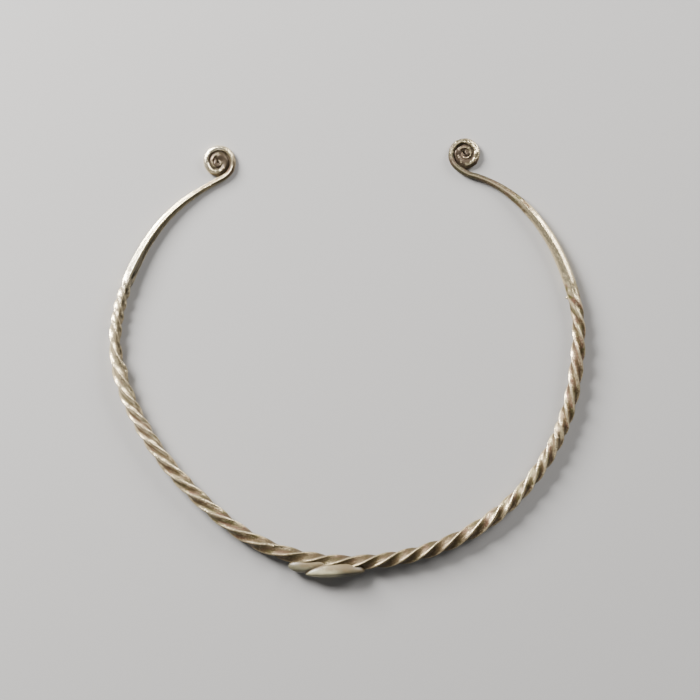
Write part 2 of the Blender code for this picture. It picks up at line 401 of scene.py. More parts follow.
GRAINY = (  # from (place, side) to (place, side), half width, grain size, height
    (-27.6, 20, -24.5, 34, 0.75, 0.85, 0.55),
    (-24.5, 34, -18, 66, 0.5, 0.6, 0.5),
    (-17.5, 16, -14, 30, 0.7, 0.8, 0.16),
    (-11.5, 10, -8, 24, 0.9, 0.8, 0.16),
    (-16.5, -62, -14, -50, 0.8, 0.7, 0.3),
    (-48.5, -42, -45, -40, 0.9, 0.8, 0.28),
    (77.5, -62, 81.5, -8, 1.0, 0.95, 0.36),
    (81.5, -8, 85.5, 60, 1.0, 0.95, 0.34),
)


def across(sides, side, radii):
    """How far apart two sides are round the bar, in mm."""
    return (np.mod(sides - side + 180, 360) - 180) * np.pi / 180 * radii


def spot(places, sides, radii, place, side, half_length, half_width):
    """1 in the middle of a mark, falling softly to 0 past its half sizes."""
    along = (places - place) / half_length
    return np.exp(-(along**2) - (across(sides, side, radii) / half_width) ** 2)


def band(places, sides, radii, start, start_side, end, end_side, half_width):
    """1 along the line from one point to another, falling softly to 0 past the half width."""
    share_along = np.clip((places - start) / (end - start), 0, 1)
    middle_side = start_side + (end_side - start_side) * share_along
    beyond = places - np.clip(places, start, end)
    return np.exp(-((across(sides, middle_side, radii) ** 2 + beyond**2) / half_width**2))


print(f"{len(BUMPS)} bumps, {len(DENTS)} dents and {len(GRAINY)} grainy marks")

# %% Fine relief all over
# Dents are darkened by this share as painted shade.
DENT_SHADE = 0.6
GRAIN_LEVEL = 0.35  # grains stand up above it, and gaps sink below it
FULLY_GRAINY = 0.4  # a mark this high looks grainy all over
LEFT_COIL, RIGHT_COIL = (20, 0.13), (5, 0.17)  # how far past its stem a spiral gets rough, and how rough
COIL_FADE = 8
SKIN_ROUGH, FINER_SHARE = 0.025, 0.6
STRAND_DEPTH, STRANDS = 0.035, (0.12, 1, 1)
PIT_DEPTH, PIT_RARITY, PIT_PATCHINESS = 0.11, 0.55, 3


def past_stems(places):
    """How far each point is past the end of its stem, in a spiral."""
    return np.maximum(LEFT_STEM_END - places, places - RIGHT_STEM_END)


def from_tips(places):
    """How far each point is from the nearer tip."""
    return np.minimum(places - LEFT_TIP, RIGHT_TIP - places)


def relief(points, places, sides, radii):
    """The height in mm that age adds or takes at each point, how grainy it is there, and its pits and the
    painted shade in its dents.
    """
    height = np.zeros(len(points))
    grainy = np.zeros(len(points))
    pits_and_dent_shade = np.zeros(len(points))
    for *where, rise in BUMPS:
        height += rise * spot(places, sides, radii, *where)
    for *where, depth in DENTS:
        dent = spot(places, sides, radii, *where)
        height -= depth * dent
        pits_and_dent_shade = np.maximum(pits_and_dent_shade, DENT_SHADE * dent)
    for *where, size, rise in GRAINY:
        mask = band(places, sides, radii, *where)
        height += rise * mask * (grains(points, size, layer=1) - GRAIN_LEVEL)
        grainy = np.maximum(grainy, mask * min(rise / FULLY_GRAINY, 1))
    rough_from, coil_rough = np.where((places < 0)[:, None], LEFT_COIL, RIGHT_COIL).T
    in_coil = ramp(past_stems(places), rough_from, COIL_FADE)
    height += in_coil * coil_rough * lumps(points, size=0.8, layer=5)
    height += SKIN_ROUGH * (lumps(points, size=1.4, layer=6) + FINER_SHARE * lumps(points, size=0.6, layer=7))
    height += STRAND_DEPTH * lumps(points * STRANDS, size=0.55, layer=9)
    pit_patches = np.clip(lumps(points, size=4, layer=8) * PIT_PATCHINESS, 0, 1)
    pits = ramp(grains(points, size=1.5, layer=2), PIT_RARITY, 1) * pit_patches
    height -= PIT_DEPTH * pits
    return height, grainy, np.maximum(pits_and_dent_shade, pits)


print(f"The spirals get rough {LEFT_COIL[0]} and {RIGHT_COIL[0]} mm past the stems")

# %% [markdown]
# ## Earth in the spirals
#
# A ring that lay in the ground keeps earth and corrosion where no finger reaches: between the inner
# turns of its spirals. A piece of its own would have to be fitted into every gap. So the bar's skin
# swells instead, at the foot of each turn that has another one beside it, and the turns meet low down.
# The swelling is widest at the tips.

# %% Packed earth
EARTH_WIDTH = ((0, 1.9), (2.5, 1.8), (5, 1.3), (8, 0.6), (14, 0.35))  # distance from the tip, width
EARTH_BRIM = ((0, 0.75), (5, 0.62), (12, 0.42), (18, 0.4))  # distance from the tip, cosine of the top side
BRIM_FADE = 0.25
UNDERSIDE = (-0.9, 0.2)  # the cosine of the sides on the ground, and a fade
EARTH_STEEPNESS = 3
INNER_TURN, OUTER_TURN = (3, 4), (23, 3)  # how far past the stem the next turn lies alongside, and a fade


def beside_turns(places):
    """Whether another turn of the spiral lies alongside: towards the spiral's middle, and away from it."""
    along = past_stems(places)
    return ramp(along, *INNER_TURN), ramp(along, *OUTER_TURN)


def earth_share(places, seen):
    """1 at the foot of a spiral's turns, on the sides that face other turns."""
    inner_turn, outer_turn = beside_turns(places)
    brim = np.interp(from_tips(places), *zip(*EARTH_BRIM))
    low = ramp(brim - np.cos(seen), 0, BRIM_FADE) * ramp(np.cos(seen), *UNDERSIDE)
    middle = np.clip(-np.sin(seen) * EARTH_STEEPNESS, 0, 1) * inner_turn
    outside = np.clip(np.sin(seen) * EARTH_STEEPNESS, 0, 1) * outer_turn
    return low * np.maximum(middle, outside)


def packed_earth(places, seen):
    """The height of the earth and corrosion that fill the gaps between a spiral's turns from below."""
    return np.interp(from_tips(places), *zip(*EARTH_WIDTH)) * earth_share(places, seen)


print(f"The earth is {EARTH_WIDTH[0][1]} mm wide at the tips, {EARTH_WIDTH[-1][1]} mm further out")

# %% [markdown]
# ## Where painted shade, dirt and shine sit
#
# The finish needs four more things, which are known while the bar is shaped. The flanks of a spiral's
# turns that face the next turn are darkened as painted shade, and the earth between the turns is
# coloured as dirt. Shine comes from handling: the left end of the twist and the outer turns of the
# spirals are the brightest, and the lowest stretch of the hoop is among the dullest. Tarnish is a dark
# film. It is planned apart for the outer side, the inner side and the whole skin: on the sides it is
# painted shade on the flanks that face away from the lamps, thinner on the inner rim, and over the whole
# skin it is a darker tone of the metal. Rosiness says where the patina is rosier or less rosy than
# elsewhere. All could be painted by hand, but plans along the bar can be read and changed.

# %% Dirt and shine
SHINE = (  # place, share
    (LEFT_TIP, 0), (LEFT_STEM_END - 28, 0.2), (LEFT_STEM_END - 22, 1), (LEFT_STEM_END - 14, 1),
    (LEFT_STEM_END - 8, 0.3), (-173, 0.3), (-160, 0.75), (-134, 1), (-126, 0.9), (-100, 0.8),
    (-80, 0.55), (-60, 0.35), (-20, 0.05), (35, 0.1), (50, 0.35), (60, 0.35), (90, 0.25), (122, 0.22),
    (130, 0.4), (134, 0.85), (140, 0.75), (144, 0.65), (152, 0.65), (162, 0.2), (RIGHT_STEM_END, 0.05),
    (RIGHT_STEM_END + 15, 0.1), (RIGHT_STEM_END + 20, 0.7), (RIGHT_STEM_END + 25, 0.3),
    (RIGHT_TIP, 0),
)
# The side shares are painted shade on flanks that face away from the lamps; the share everywhere is a darker
# tone.
TARNISH_AND_SIDE_SHADE = (  # place, share on the outer side, share on the inner side, share everywhere
    (LEFT_TIP, 0, 0, 0.65), (LEFT_STEM_END - 30, 0, 0, 0.5), (LEFT_STEM_END - 22, 0, 0.1, 0.05),
    (LEFT_STEM_END - 14, 0, 0.1, 0.05), (LEFT_STEM_END - 8, 0, 0.5, 0.4), (-172, 0, 0.8, 0.3),
    (-162, 0, 0.95, 0), (-150, 0, 0.95, 0), (-131, 0, 0.85, 0), (-124, 0, 0.75, 0),
    (-105, 0, 0.6, 0), (-95, 0.05, 0.25, 0), (-60, 0.1, 0, 0), (-38, 0.05, 0, 0.35),
    (-22, 0.05, 0, 0.7), (0, 0.05, 0, 0.8), (30, 0.1, 0, 0.75), (45, 0.15, 0, 0.35),
    (75, 0.2, 0.05, 0), (95, 0.2, 0.05, 0), (105, 0.05, 0.05, 0), (127, 0, 0.05, 0),
    (142, 0, 0.15, 0), (158, 0, 0.35, 0), (166, 0.35, 0.55, 0.4), (RIGHT_STEM_END, 0.5, 0.6, 0.72),
    (RIGHT_STEM_END + 10, 0.4, 0.4, 0.7), (RIGHT_STEM_END + 16, 0.1, 0.1, 0.55),
    (RIGHT_STEM_END + 20, 0, 0, 0.25), (RIGHT_STEM_END + 25, 0, 0, 0.5), (RIGHT_TIP, 0, 0, 0.65),
)
ROSINESS = (  # place, how much more of the metal is rosy there
    (LEFT_TIP, 0.1), (LEFT_STEM_END - 22, 0), (-140, 0), (-132, 0.12), (-126, 0), (-95, -0.03),
    (-86, 0.08), (-78, 0.08), (-72, 0), (50, -0.02), (57, 0.08), (63, 0), (95, 0.03), (108, 0.06),
    (124, 0.08), (131, 0.05), (137, -0.03), (142, -0.08), (170, -0.08), (RIGHT_STEM_END + 5, 0),
    (RIGHT_STEM_END + 22, 0), (RIGHT_TIP, 0.1),
)

# %% Shares across the bar
# Each pair is a start and a width, both as shares of the bar's half width.
# The first two pairs spread the painted side shade round the bar.
OUTER_SIDE_SHADE, INNER_SIDE_SHADE, RIM, FLANK = (0.15, 0.6), (0.05, 0.25), (0.72, 0.2), (0.45, 0.35)
# How much thinner the painted shade on the inner side gets at the inner rim.
RIM_SHADE_THINNING = 0.2
EARTH_DIRT = 1.5


# The flanks that face the next turn of a spiral are darkened as painted shade; the packed earth is coloured
# as dirt.
def spiral_gap_shade_and_dirt(places, seen):
    """1 on flanks that face the next turn of a spiral, where shade is painted, and on the packed earth, which
    is coloured as dirt.
    """
    inner_turn, outer_turn = beside_turns(places)
    facing_middle = ramp(-np.sin(seen), *FLANK) * inner_turn
    facing_out = ramp(np.sin(seen), *FLANK) * outer_turn
    earthy = np.clip(earth_share(places, seen) * EARTH_DIRT, 0, 1)
    return np.maximum(np.maximum(facing_middle, facing_out), earthy)


def tarnish_and_side_shade(places, seen):
    """Painted shade on the flanks that face away from the lamps, and a darker tone of the metal in places."""
    steps, outer, inner, everywhere = zip(*TARNISH_AND_SIDE_SHADE)
    outward = ramp(-np.sin(seen), *OUTER_SIDE_SHADE)
    inward = ramp(np.sin(seen), *INNER_SIDE_SHADE)
    inward *= 1 - RIM_SHADE_THINNING * ramp(np.sin(seen), *RIM)
    sides = np.interp(places, steps, outer) * outward + np.interp(places, steps, inner) * inward
    return np.maximum(sides, np.interp(places, steps, everywhere))


print(f"Shine is planned at {len(SHINE)} places, tarnish at {len(TARNISH_AND_SIDE_SHADE)} and rosiness at {len(ROSINESS)}")

# %% [markdown]
# ## Twist, bend and lay down
#
# The shaping steps come together. The section is scaled to the bar's taper, the marks and the earth are
# added, the twist turns each ring, and the bend carries it to its point on the route. The bar lies on
# its back, worn flat there, so points that would sink below the ground stay on it. A spiral's thin
# turns are lifted, because they stay near the height of its thick ones. The tips are rounded off with a
# quarter ellipse. What the finish needs is kept on the mesh as attributes: the straight bar's own
# space, the crests, the marks, and the shares of dirt, film and shine, where the dirt, the film and the
# dents' darkening are partly painted shade.

# %% Shape the bar
FLAT_DEPTH = 0.25
SPIRAL_LIFT = 0.7  # 0 lets a spiral's thin turns sink, and 1 keeps them level with its stem
SMALLEST_TIP = 1e-3


def rounded_tip(places):
    """A share of the radius that closes each tip like a quarter ellipse."""
    short = 1 - ramp(from_tips(places), 0, TIP_LENGTH)
    return np.sqrt(np.clip(1 - short**2, SMALLEST_TIP, 1))


def shaped_bar(points):
    """The straight unit bar's points, shaped, twisted and bent, in mm, and facts for the finish."""
    places = points[:, 0]
    angles = np.arctan2(points[:, 1], points[:, 2])
    radii = bar_radius(places)
    metal = np.stack([places, radii * np.sin(angles), radii * np.cos(angles)], axis=1)
    share, from_crest = section(metal)
    seen = angles + twist_angle(places)
    height, grainy, pits_and_dent_shade = relief(metal, places, np.degrees(seen), radii)
    height += packed_earth(places, seen)
    metal[:, 1:] = np.stack([radii * np.sin(from_crest), radii * np.cos(from_crest)], axis=1)
    on_axis = np.hypot(points[:, 1], points[:, 2]) < 0.5  # the two end points
    reach = np.where(on_axis, 0, (radii * share + height) * rounded_tip(places))
    ring_places, ring_of = np.unique(np.round(places, 5), return_inverse=True)
    x, y, heading = np.array([bar_axis(place) for place in ring_places])[ring_of.ravel()].T
    inward = reach * np.sin(seen)
    lift = SPIRAL_LIFT * (smoothed(BAR_RADII, places) - radii)
    up = radii + lift - FLAT_DEPTH + reach * np.cos(seen)
    bent = np.stack([x - inward * np.sin(heading), y + inward * np.cos(heading), np.maximum(up, 0)], axis=1)
    facts = {
        "metal": metal, "crest": crest_of(from_crest), "grainy": grainy, "pits_and_dent_shade": pits_and_dent_shade,
        "twisted": in_twist(places), "gap_shade_and_dirt": spiral_gap_shade_and_dirt(places, seen), "tarnish_and_side_shade": tarnish_and_side_shade(places, seen),
        "shine": np.interp(places, *zip(*SHINE)), "rosy": np.interp(places, *zip(*ROSINESS)),
    }
    return bent, facts


bent, finish_facts = shaped_bar(straight)
low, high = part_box("torc")
shift = [(low[k] + high[k]) / 2 / MM - (bent[:, k].max() + bent[:, k].min()) / 2 for k in range(2)]
ROUTE_SHIFT = np.array([*shift, 0.0])
write_points(torc_mesh, (bent + ROUTE_SHIFT) * MM)
print("The route is shifted by", np.round(ROUTE_SHIFT, 2), "mm to lie where the packed ring lies")


# %% Keep what the finish needs
def keep_attribute(mesh, name, values):
    """Stores one number or one vector for each point of a mesh."""
    kind, field = ("FLOAT", "value") if values.ndim == 1 else ("FLOAT_VECTOR", "vector")
    attribute = mesh.attributes.new(name, kind, "POINT")
    attribute.data.foreach_set(field, values.astype(np.float32).ravel())


def scene_object(data):
    """Puts a mesh, a lamp or a camera in the scene, as an object with its name."""
    made = bpy.data.objects.new(data.name, data)
    bpy.context.scene.collection.objects.link(made)
    return made


def add_piece(mesh, cad_node):
    """Puts a finished mesh in the scene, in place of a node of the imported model."""
    mesh.shade_smooth()
    piece = scene_object(mesh)
    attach(piece, "root")
    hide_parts(cad_node)


for name, values in finish_facts.items():
    keep_attribute(torc_mesh, name, values)
add_piece(torc_mesh, "torc")
print(f"The ring is made of {len(torc_mesh.polygons)} faces")

# %% [markdown]
# ## The splint
#
# A smooth pale piece is pressed against the outside of the ring at its lowest stretch. It has two
# lobes, and the right one overlaps the left one with a crease between them. Each lobe starts as a ball.
# The two are joined with a Boolean, a remesh turns the sharp crease into a soft one, and the bar's own
# shape, a hair larger, is cut away, so the splint fits against the twist as putty does. Last, the
# crease is pressed in. The mesh keeps the crease, the seam along the bar and the ends for the finish,
# which paints shade on them and a stain along the seam.

# %% Model the lobes
LOBES = (  # the middle's place, its distance outwards and its height, the slant in degrees, and half sizes
    dict(place=-11.7, outward=1.95, height=2.2, slant=10, length=7.0, inner=2.2, outer=2.5, depth=2.15),
    dict(place=-4.2, outward=3.2, height=2.15, slant=5.6, length=9.45, inner=3.4, outer=1.6, depth=2.95),
)
BLUNT = 2.5  # 2 gives the ends of a ball, and more makes them blunter


def lobe_stance(lobe):
    """A lobe's middle, and the angle from +X to its length."""
    x, y, heading = bar_axis(lobe["place"])
    outward = lobe["outward"]
    middle = (x + outward * math.sin(heading), y - outward * math.cos(heading), lobe["height"])
    return middle, heading + math.radians(lobe["slant"])


def lobe_mesh(name, lobe):
    """One lobe of the splint: a flattened ball beside the bar, with its own half width on either side."""
    middle, turn = lobe_stance(lobe)
    shape = bmesh.new()
    bmesh.ops.create_uvsphere(shape, u_segments=64, v_segments=40, radius=1)
    bmesh.ops.rotate(shape, verts=shape.verts, matrix=Matrix.Rotation(math.pi / 2, 3, "Y"))
    for vert in shape.verts:
        across = math.hypot(vert.co.y, vert.co.z)
        fuller = math.sqrt(max(1 - abs(vert.co.x) ** BLUNT, 0)) / across if across > WELD else 0
        vert.co.y *= fuller * (lobe["inner"] if vert.co.y > 0 else lobe["outer"])
        vert.co.z *= fuller * lobe["depth"]
        vert.co.x *= lobe["length"]
    into_place = Matrix.Translation(middle) @ Matrix.Rotation(turn, 4, "Z")
    bmesh.ops.transform(shape, matrix=into_place, verts=shape.verts)
    return as_mesh(name, shape)


def apply_modifiers(item):
    """The mesh that an object's modifiers give. The object is removed."""
    evaluated = item.evaluated_get(bpy.context.evaluated_depsgraph_get())
    mesh = bpy.data.meshes.new_from_object(evaluated)
    bpy.data.objects.remove(item)
    return mesh


left_lobe, right_lobe = [scene_object(lobe_mesh(f"lobe_{k}", lobe)) for k, lobe in enumerate(LOBES)]
print("The lobes are", [2 * lobe["length"] for lobe in LOBES], "mm long")

# %% Where the splint is creased, stained and shaded
SPLINT_STRETCH = (-30, 16)  # the places of the bar beside the splint
SEAM_STEP = 0.5
CREASE_WIDTH = 0.3
SEAM_FROM, SEAM_WIDTH = 0.85, 1.5  # in shares of the bar's radius, and in mm
# Painted shade towards the splint's ends, by its position along the splint.
END_SHADING = ((-19, 0.8), (-13, 0.5), (-9, 0.0), (-6.5, 0.0), (-0.5, 1.0))  # along the splint, share


def depth_in_lobe(points, lobe):
    """How far out points are in a lobe: 1 on its surface, less inside it, more outside."""
    middle, turn = lobe_stance(lobe)
    x, y, z = (points - middle).T
    lengthwise = x * math.cos(turn) + y * math.sin(turn)
    inward = y * math.cos(turn) - x * math.sin(turn)
    widths = np.where(inward > 0, lobe["inner"], lobe["outer"])
    return np.abs(lengthwise / lobe["length"]) ** BLUNT + (inward / widths) ** 2 + (z / lobe["depth"]) ** 2


def crease_of(points):
    """1 in the crease where the two lobes meet."""
    left, right = [depth_in_lobe(points, lobe) - 1 for lobe in LOBES]
    return np.exp(-(left**2 + right**2) / CREASE_WIDTH**2)


def seam_of(points):
    """1 where the splint meets the bar, falling to 0 away from it."""
    places = np.arange(*SPLINT_STRETCH, SEAM_STEP)
    x, y, _ = np.array([bar_axis(place) for place in places]).T
    away = np.hypot(points[:, 0, None] - x, points[:, 1, None] - y)
    seam_starts = SEAM_FROM * bar_radius(places)[away.argmin(axis=1)]
    return 1 - ramp(away.min(axis=1), seam_starts, SEAM_WIDTH)


def shaded_ends(points):
    """0 in the middle of the splint, rising towards its ends, where shade is painted."""
    return np.interp(points[:, 0], *zip(*END_SHADING))


print("The seam is read along the places", SPLINT_STRETCH)

# %% Join the lobes and fit them to the bar
VOXEL = 0.16
FIT_CLEARANCE = 0.04
CREASE_DEPTH = 0.16
CUTTER_SPACING, CUTTER_RING_POINTS = 0.4, 48


def bar_cutter(start, end):
    """A stretch of the shaped bar, a hair larger than the bar, to cut the splint with."""
    mesh = as_mesh("bar_cutter", straight_bar(start, ((end, CUTTER_SPACING),), CUTTER_RING_POINTS))
    shaped, _ = shaped_bar(read_points(mesh))
    write_points(mesh, shaped)
    write_points(mesh, shaped + read_normals(mesh) * FIT_CLEARANCE)
    return scene_object(mesh)


def boolean(item, other, operation):
    """One Boolean modifier."""
    cut = item.modifiers.new(operation, "BOOLEAN")
    cut.operation = operation
    cut.object = other


boolean(left_lobe, right_lobe, "UNION")
joined = scene_object(apply_modifiers(left_lobe))
bpy.data.objects.remove(right_lobe)
soften = joined.modifiers.new("soft crease", "REMESH")
soften.mode = "VOXEL"
soften.voxel_size = VOXEL
cutter = bar_cutter(*SPLINT_STRETCH)
boolean(joined, cutter, "DIFFERENCE")
splint_mesh = apply_modifiers(joined)
splint_mesh.name = "splint_resin"
bpy.data.objects.remove(cutter)
points = read_points(splint_mesh)
splint_facts = {"crease": crease_of(points), "seam": seam_of(points), "end_shade": shaded_ends(points)}
points -= read_normals(splint_mesh) * (CREASE_DEPTH * splint_facts["crease"])[:, None]
points[:, 2] = np.maximum(points[:, 2], 0)
write_points(splint_mesh, (points + ROUTE_SHIFT) * MM)
for name, values in splint_facts.items():
    keep_attribute(splint_mesh, name, values)
add_piece(splint_mesh, "splint")
print(f"The splint is made of {len(splint_mesh.polygons)} faces")

# %% [markdown]
# ## Node helpers
#
# A finish is a tree of nodes. These helpers keep the trees short: each adds one kind of node with its
# inputs, and gives its output.

# %% Helpers for node trees
def new_material(name):
    """A new material, its node tree and its shader."""
    material = bpy.data.materials.new(name)
    material.use_nodes = True
    return material, material.node_tree, material.node_tree.nodes["Principled BSDF"]


def feed(node, inputs):
    """Gives a node's sockets links or plain values."""
    for name, value in inputs.items():
        socket = node.inputs[name]
        if isinstance(value, bpy.types.NodeSocket):
            node.id_data.links.new(value, socket)
        else:
            socket.default_value = (*value, 1) if socket.type == "RGBA" else value


def add_node(tree, kind, inputs, output, **settings):
    """Adds a node with its inputs and settings, and gives one of its outputs."""
    made = tree.nodes.new(kind)
    for name, value in settings.items():
        setattr(made, name, value)
    feed(made, inputs)
    return made.outputs[output]


def attribute(tree, name, output="Fac"):
    """Reads an attribute of the mesh."""
    return add_node(tree, "ShaderNodeAttribute", {}, output, attribute_name=name)


def cloud(tree, vector, scale, detail=3.0, rough=0.55):
    """Noise from 0 to 1."""
    inputs = {"Vector": vector, "Scale": scale, "Detail": detail, "Roughness": rough}
    return add_node(tree, "ShaderNodeTexNoise", inputs, "Fac")


def stretch(tree, vector, scale):
    """A vector scaled differently along its three axes."""
    return add_node(tree, "ShaderNodeMapping", {"Vector": vector, "Scale": scale}, "Vector")


def spread(tree, value, low, high, new_low=0.0, new_high=1.0):
    """Maps a value smoothly from low..high to new_low..new_high, and clamps it."""
    names = ("Value", "From Min", "From Max", "To Min", "To Max")
    inputs = dict(zip(names, (value, low, high, new_low, new_high)))
    return add_node(tree, "ShaderNodeMapRange", inputs, "Result", interpolation_type="SMOOTHSTEP")


def maths(tree, operation, first, second=0.0, clamp=True):
    """One sum on one or two values. Clamped, its result stays from 0 to 1."""
    inputs = {0: first, 1: second}
    return add_node(tree, "ShaderNodeMath", inputs, "Value", operation=operation, use_clamp=clamp)


def mix_colour(tree, share, first, second):
    """Between two colours."""
    return add_node(tree, "ShaderNodeMix", {0: share, 6: first, 7: second}, 2, data_type="RGBA")


def mix_number(tree, share, first, second):
    """Between two numbers."""
    return add_node(tree, "ShaderNodeMix", {0: share, 2: first, 3: second}, 0, data_type="FLOAT")


def bump(tree, height, strength, distance, **below):
    """Small relief for the shader only. It can lie on another one below it, given as Normal."""
    inputs = {"Height": height, "Strength": strength, "Distance": distance, **below}
    return add_node(tree, "ShaderNodeBump", inputs, "Normal")


print("Node helpers are ready")

# %% [markdown]
# ## Old silver
#
# Old silver is bright only where hands and cloth rub it: on the crests, and all over where the bar was
# handled most. The faces keep a warm tan patina that drifts towards olive and towards a rosy brown,
# with a pale haze in streaks and with dark and bright specks. A dark film, brown in the twist and grey
# beyond it, is painted shade on the flanks that face away from the lamps and, with some patina, in the
# middles of the hollow faces; along some stretches it is a darker tone all over. Grime stays in pits and
# between grains, the grooves are darker, and the dents and the flanks between a spiral's turns are
# darkened as painted shade, with dirt on the earth there. The patterns are read in the straight bar's
# space, so they follow the twist.

# %% Colours and gloss of old silver
BRIGHT_SILVER, YELLOWED_SILVER = (0.96, 0.84, 0.60), (0.96, 0.80, 0.50)
TAN, OLIVE, ROSY = (0.12, 0.070, 0.027), (0.085, 0.073, 0.017), (0.145, 0.062, 0.038)
GREY_HAZE, GRIME_AND_SHADE = (0.19, 0.145, 0.08), (0.055, 0.038, 0.023)
# The film's colours: painted shade on flanks and in hollows, and a darker tone of the metal in places.
TARNISH_AND_SHADE_BROWN, TARNISH_AND_SHADE_GREY = (0.060, 0.041, 0.018), (0.042, 0.036, 0.025)
METALLIC, ROUGHNESS = (0.6, 0.94), (0.46, 0.24)  # of the patina, and of bright metal
FINE_BUMP, STREAK_BUMP, GROOVE_BUMP = (0.5, 0.0002), (0.3, 0.0002), (-0.5, 0.00015)  # strength, metres
print("The finish reads these from the mesh:", *finish_facts)

# %% Ridges, grooves and hollows in the finish
GROOVE_PLACE, GROOVE_HALF = 0.10, 0.035  # in quarter turns from the ridge
GROOVE_CLOUDS, SIDES_DIFFER = 0.23, 0.05
HOLLOW = (0.2, 0.42)  # where a face's hollow begins and is full, in quarter turns from the ridge


def from_ridge(tree, metal):
    """How far a point is from the nearest ridge: 0 on it, 0.5 or -0.5 in the middle of a face."""
    up = add_node(tree, "ShaderNodeSeparateXYZ", {"Vector": metal}, "Z")
    angle = maths(tree, "ARCTAN2", up.node.outputs["Y"], up, clamp=False)
    quarters = maths(tree, "DIVIDE", angle, math.pi / 2, clamp=False)
    fraction = maths(tree, "FRACT", maths(tree, "ADD", quarters, 0.5, clamp=False))
    return maths(tree, "SUBTRACT", fraction, 0.5, clamp=False)


def ridge_groove(tree, distance, metal, side):
    """A thin line beside a ridge that comes and goes along the bar."""
    off = maths(tree, "ABSOLUTE", maths(tree, "SUBTRACT", distance, side * GROOVE_PLACE, clamp=False))
    line = spread(tree, off, GROOVE_HALF, 0.0)
    clouds = cloud(tree, stretch(tree, metal, WIDE_LUMPS), GROOVE_CLOUDS + SIDES_DIFFER * side)
    return maths(tree, "MULTIPLY", line, spread(tree, clouds, 0.45, 0.58))


def drawn_cloud(tree, metal, along, scale, detail=3.0, rough=0.55):
    """Noise drawn out along the bar. The smaller its scale along the bar, the longer its streaks."""
    return cloud(tree, stretch(tree, metal, (along, 1.0, 1.0)), scale, detail, rough)


def silver_marks(tree):
    """What the mesh and a few patterns say about each point of the bar, by name."""
    at = {name: attribute(tree, name, "Vector" if name == "metal" else "Fac") for name in finish_facts}
    metal = at["metal"]
    distance = from_ridge(tree, metal)
    grooves = [ridge_groove(tree, distance, metal, side) for side in (1, -1)]
    at["grooves"] = maths(tree, "MULTIPLY", maths(tree, "MAXIMUM", *grooves), at["twisted"])
    # The middles of the faces in the twist are darkened: patina there, and painted shade for the dark lines
    # beside the ridges.
    hollow = spread(tree, maths(tree, "ABSOLUTE", distance), *HOLLOW)
    hollow = maths(tree, "MULTIPLY", hollow, at["twisted"])
    at["hollow"] = maths(tree, "MULTIPLY", hollow, spread(tree, at["shine"], 0.5, 0.9, 1.0, 0.5))
    at["streaks"] = drawn_cloud(tree, metal, 0.10, 2.6, 4.0, 0.6)
    at["fine"] = cloud(tree, metal, 3.2, 5.0)
    at["specks"] = cloud(tree, metal, 2.2, 2.0, 0.5)
    return at


print(f"A groove lies {GROOVE_PLACE * 90:.0f} degrees from its ridge")


# %% Patina, bright metal, film and grime
def patina_colour(tree, at):
    """Tan that drifts to olive and to a rosy brown, with a pale haze in streaks and dark specks."""
    patches = drawn_cloud(tree, at["metal"], 0.7, 0.28)
    rosy_patches = maths(tree, "ADD", drawn_cloud(tree, at["metal"], 0.6, 0.36), at["rosy"])
    colour = mix_colour(tree, spread(tree, patches, 0.46, 0.60), TAN, OLIVE)
    colour = mix_colour(tree, spread(tree, rosy_patches, 0.54, 0.64), colour, ROSY)
    colour = mix_colour(tree, spread(tree, at["streaks"], 0.48, 0.72, 0.0, 0.8), colour, GREY_HAZE)
    return mix_colour(tree, spread(tree, at["specks"], 0.54, 0.66, 0.0, 0.6), colour, GRIME_AND_SHADE)


def worn_share(tree, at):
    """Where metal shows: shiny stretches and crests, but less in hollows, which is partly painted shade, in
    grooves and under speckles.
    """
    cover = drawn_cloud(tree, at["metal"], 0.45, 0.8, 4.0, 0.6)
    rubbed = maths(tree, "ADD", maths(tree, "MULTIPLY", at["shine"], 0.6), cover, clamp=False)
    clean = spread(tree, rubbed, 0.64, 0.9)
    clean = maths(tree, "MULTIPLY", clean, spread(tree, at["hollow"], 0.0, 1.0, 1.0, 0.2))
    uneven_crest = maths(tree, "ADD", at["crest"], spread(tree, at["fine"], 0.35, 0.65, -0.25, 0.25))
    edge_shine = spread(tree, at["shine"], 0.0, 0.4, 0.45, 1.0)
    edge = maths(tree, "MULTIPLY", spread(tree, uneven_crest, 0.15, 0.75), edge_shine)
    worn = maths(tree, "MAXIMUM", clean, edge)
    worn = maths(tree, "MULTIPLY", worn, spread(tree, at["grooves"], 0.0, 1.0, 1.0, 0.25))
    under_speckles = mix_number(tree, at["twisted"], 0.85, 0.5)
    speckles = spread(tree, cloud(tree, at["metal"], 1.7, 3.0, 0.6), 0.40, 0.54, under_speckles, 1.0)
    worn = maths(tree, "MULTIPLY", worn, speckles)
    grain_tops = maths(tree, "MULTIPLY", at["grainy"], spread(tree, at["fine"], 0.56, 0.5, 0.0, 0.8))
    worn = maths(tree, "MAXIMUM", worn, grain_tops)
    return maths(tree, "MAXIMUM", worn, spread(tree, at["specks"], 0.42, 0.32, 0.0, 0.5))


def film_and_shade_share(tree, at):
    """Where the dark film lies: painted shade on flanks facing away from the lamps and in hollows, a darker
    tone in some stretches; thinner on the crests.
    """
    film_and_shade = maths(tree, "MAXIMUM", at["tarnish_and_side_shade"], maths(tree, "MULTIPLY", at["hollow"], 0.65))
    return maths(tree, "MULTIPLY", film_and_shade, spread(tree, at["crest"], 0.3, 0.95, 1.0, 0.4))


